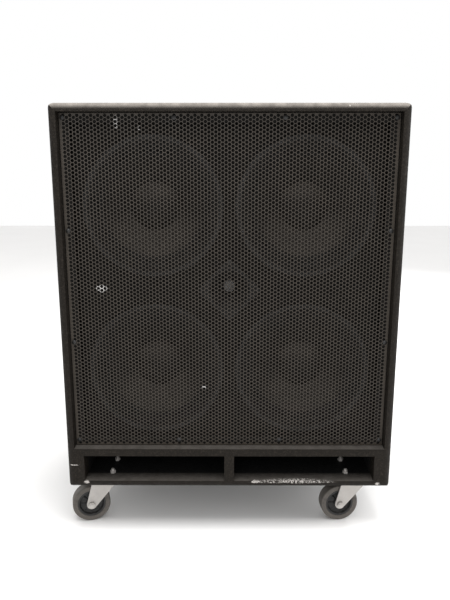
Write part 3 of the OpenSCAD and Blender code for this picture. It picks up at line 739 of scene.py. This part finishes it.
def make_knob(finishes):
    """A fluted knob on a flat skirt, with a white pointer line."""
    face_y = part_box("level_knob")[1].y
    centre = middle("level_knob")
    turn = Matrix.Rotation(-math.pi / 2, 4, "X")
    place = Matrix.Translation((centre.x, face_y - 13.6 * MM, centre.z)) @ turn
    outline = [(3.0, 0), (10.4, 0), (11.0, 0.6), (11.0, 2.4), (10.4, 3.0), (9.4, 3.1), (9.1, 3.6)]
    outline += [(9.1 - 0.1 * i, 3.6 + 0.9 * i) for i in range(1, 9)]
    outline += [(8.0, 12.1), (7.3, 12.9), (6.2, 13.1), (5.6, 12.6), (0, 12.5), (0, -14.9), (3.0, -14.9)]
    knob = revolve("level_knob_fluted", outline, finishes["knob_plastic"], place, 160, 35, fluted)
    line_low = (centre.x - 0.6 * MM, face_y - 1.2 * MM, centre.z + 3.5 * MM)
    line_high = (centre.x + 0.6 * MM, face_y - 0.3 * MM, centre.z + 7.9 * MM)
    pointer = box_piece("level_pointer", line_low, line_high, finishes["white_paint"], 0.15 * MM)
    for piece in (knob, pointer):
        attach(piece, "control")
    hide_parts("level_knob")


def smooth_lead(name, points, material):
    """A round lead whose bends are smooth, along a list of points in metres."""
    data = bpy.data.curves.new(name, "CURVE")
    data.dimensions = "3D"
    data.bevel_depth = 1.7 * MM
    data.bevel_resolution = 3
    data.use_fill_caps = True
    spline = data.splines.new("POLY")
    path = rounded_path(points, 9 * MM, 8)
    spline.points.add(len(path) - 1)
    for point, place in zip(spline.points, path):
        point.co = (*place, 1)
    data.materials.append(material)
    lead = bpy.data.objects.new(name, data)
    bpy.context.scene.collection.objects.link(lead)
    return lead


def rounded_path(points, bend, steps):
    """The points with each corner replaced by a curve that starts and ends a bend's length away."""
    points = [Vector(p) for p in points]
    path = [points[0]]
    for before, corner, after in zip(points, points[1:], points[2:]):
        reach = min(bend, (corner - before).length * 0.45, (after - corner).length * 0.45)
        start = corner + (before - corner).normalized() * reach
        end = corner + (after - corner).normalized() * reach
        for i in range(steps + 1):
            t = i / steps
            path.append(start * (1 - t) ** 2 + corner * 2 * t * (1 - t) + end * t ** 2)
    return path + [points[-1]]


def make_leads(finishes):
    """The leads inside: sockets and control to the board, and the board to the drivers and the horn."""
    harness_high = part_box("wiring_harness")[1]
    board_face = harness_high.y
    board_z = middle("crossover").z
    lead_z = board_z + 32 * MM
    drop_y = 135 * MM
    tab_y = BAFFLE_FRONT + 72.5 * MM
    dish_z = middle("jack_dish").z
    centre_z = middle("tweeter_horn").z
    upper_z = middle("upper_left_surround").z
    lower_z = middle("lower_left_surround").z
    routes = {}
    for side, sign in (("left", -1), ("right", 1)):
        tab = harness_high.x * sign
        routes["upper_" + side] = [
            (tab, tab_y, upper_z), (sign * 0.050, tab_y, upper_z),
            (sign * 0.050, drop_y - 0.015, upper_z), (sign * 0.050, drop_y - 0.015, dish_z - 0.090),
            (sign * 0.052, 0.150, lead_z), (sign * 0.052, board_face, lead_z)]
        routes["lower_" + side] = [
            (tab, tab_y, lower_z), (sign * 0.050, tab_y, lower_z),
            (sign * 0.050, 0.150, lower_z), (sign * 0.052, 0.150, board_z - 0.034),
            (sign * 0.052, board_face, board_z - 0.034)]
    horn_y = BAFFLE_FRONT + 0.094
    routes["horn"] = [(0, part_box("tweeter_driver")[1].y, centre_z), (0, horn_y, centre_z),
                      (0, horn_y, board_z + 0.006), (0, board_face, board_z + 0.006)]
    socket_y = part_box("jack_sockets")[0].y
    control_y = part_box("level_control")[0].y
    rear_ends = [("socket_a", socket_y, -0.048, -0.044), ("socket_b", socket_y, -0.014, -0.036),
                 ("control", control_y, 0.042, 0.036)]
    for name, start_y, x, drop_x in rear_ends:
        routes[name] = [(x, start_y, dish_z), (x, drop_y, dish_z), (drop_x, drop_y, dish_z - 0.050),
                        (drop_x, drop_y, lead_z), (drop_x, board_face, lead_z)]
    for name, points in routes.items():
        lead = smooth_lead(name + "_lead", points, finishes["wire"])
        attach(lead, "cabinet")
        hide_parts("wiring_harness")


def pad_grid(low, high, step):
    """Vertices and faces of a block whose six sides are grids of about the given step."""
    vertices = []
    faces = []
    for axis in range(3):
        u, v = [k for k in range(3) if k != axis]
        nu = max(1, round((high[u] - low[u]) / step))
        nv = max(1, round((high[v] - low[v]) / step))
        for level in (low[axis], high[axis]):
            first = len(vertices)
            for i in range(nu + 1):
                for j in range(nv + 1):
                    point = [0.0, 0.0, 0.0]
                    point[axis] = level
                    point[u] = low[u] + (high[u] - low[u]) * i / nu
                    point[v] = low[v] + (high[v] - low[v]) * j / nv
                    vertices.append(tuple(point))
            for i in range(nu):
                for j in range(nv):
                    a = first + i * (nv + 1) + j
                    faces.append((a, a + 1, a + nv + 2, a + nv + 1))
    return vertices, faces


def make_wadding(finishes):
    """Lumpy sheets with soft edges on the inner walls, each a little inside its CAD outline."""
    low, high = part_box("damping_lining")
    thick = 20 * MM
    inset = 8 * MM
    dish_top = middle("jack_dish").z + 70 * MM
    side_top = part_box("braces")[0].z - 12 * MM
    sheets = {
        "top": ((low.x + inset, low.y, high.z - thick), (high.x - inset, high.y, high.z)),
        "rear": ((low.x + inset, high.y - thick, dish_top), (high.x - inset, high.y, high.z - thick)),
        "left": ((low.x, low.y, low.z), (low.x + thick, high.y, side_top)),
        "right": ((high.x - thick, low.y, low.z), (high.x, high.y, side_top)),
    }
    for name, (start, end) in sheets.items():
        vertices, faces = pad_grid(start, end, 6 * MM)
        sheet = new_piece(name + "_wadding", vertices, faces, finishes["wadding"], sharp=180)
        smooth = sheet.modifiers.new("smooth", "SMOOTH")
        smooth.iterations = 4
        apply_modifiers(sheet)
        for vertex in sheet.data.vertices:
            lump = field.noise(vertex.co * 45) + 0.5 * field.noise(vertex.co * 110)
            vertex.co -= vertex.normal * (2.4 + 1.6 * lump) * MM
        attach(sheet, "cabinet")
        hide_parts("damping_lining")


# ---- Finishes on the CAD nodes ----

def make_finishes():
    """Every finish once, by its slot's name or its own."""
    return {
        "coated_wood": coating("coated_wood", 0.235),
        # port_wood: the same coating with a dimmer top tone, which is painted shade inside the port.
        "port_wood": coating("port_wood", 0.06, grey(0.010)),
        "black_wood": black_wood(),
        "bare_wood": bare_ply(),
        "wadding": wadding_fluff(),
        "grille_steel": grille_steel(),
        "black_screws": black_metal("black_screws", 0.4, 0.012),
        "black_frame": black_metal("black_frame", 0.55, 0.005),
        "magnet": ferrite(),
        "spider_cloth": spider_cloth(),
        "gasket": gasket_board(),
        "cone_paper": cone_paper(),
        "surround_cloth": surround_cloth(),
        "black_plastic": moulded("black_plastic"),
        "horn_plastic": moulded("horn_plastic", 0.006, 0.45, 500, 0.2),
        "knob_plastic": moulded("knob_plastic", 0.012, 0.34, 1200),
        "soft_rubber": moulded("soft_rubber", 0.016, 0.6, 700),
        "white_paint": moulded("white_paint", 0.42, 0.4),
        "zinc": plated("zinc"),
        "circuit_board": circuit_board(),
        "wire": wire_skin(),
        "wheel_plastic": moulded("wheel_plastic", 0.006, 0.5, 700),
        "tyre_rubber": tyre_rubber(),
    }


def paint_nodes(finishes):
    """Every CAD node takes its slot's finish; a few take a closer one."""
    closer = {"port_shelf": "port_wood", "port_divider": "port_wood", "port_side_blocks": "port_wood",
              "tweeter_horn": "horn_plastic", "bottom_panel": "port_wood"}
    for part in frame["record"]["subparts"]:
        node = part["node"]
        mesh = frame["nodes"][node].data
        mesh.materials.clear()
        mesh.materials.append(finishes[closer.get(node, part["material_slot"])])


def main():
    make_camera()
    make_studio()
    finishes = make_finishes()
    paint_nodes(finishes)
    make_grille(finishes)
    for name in DRIVERS:
        make_driver(name, finishes)
    for name in CORNERS:
        make_caster(name, finishes)
    for side in ("left", "right"):
        make_grip(side, finishes)
    make_knob(finishes)
    make_wadding(finishes)
    make_leads(finishes)


main()
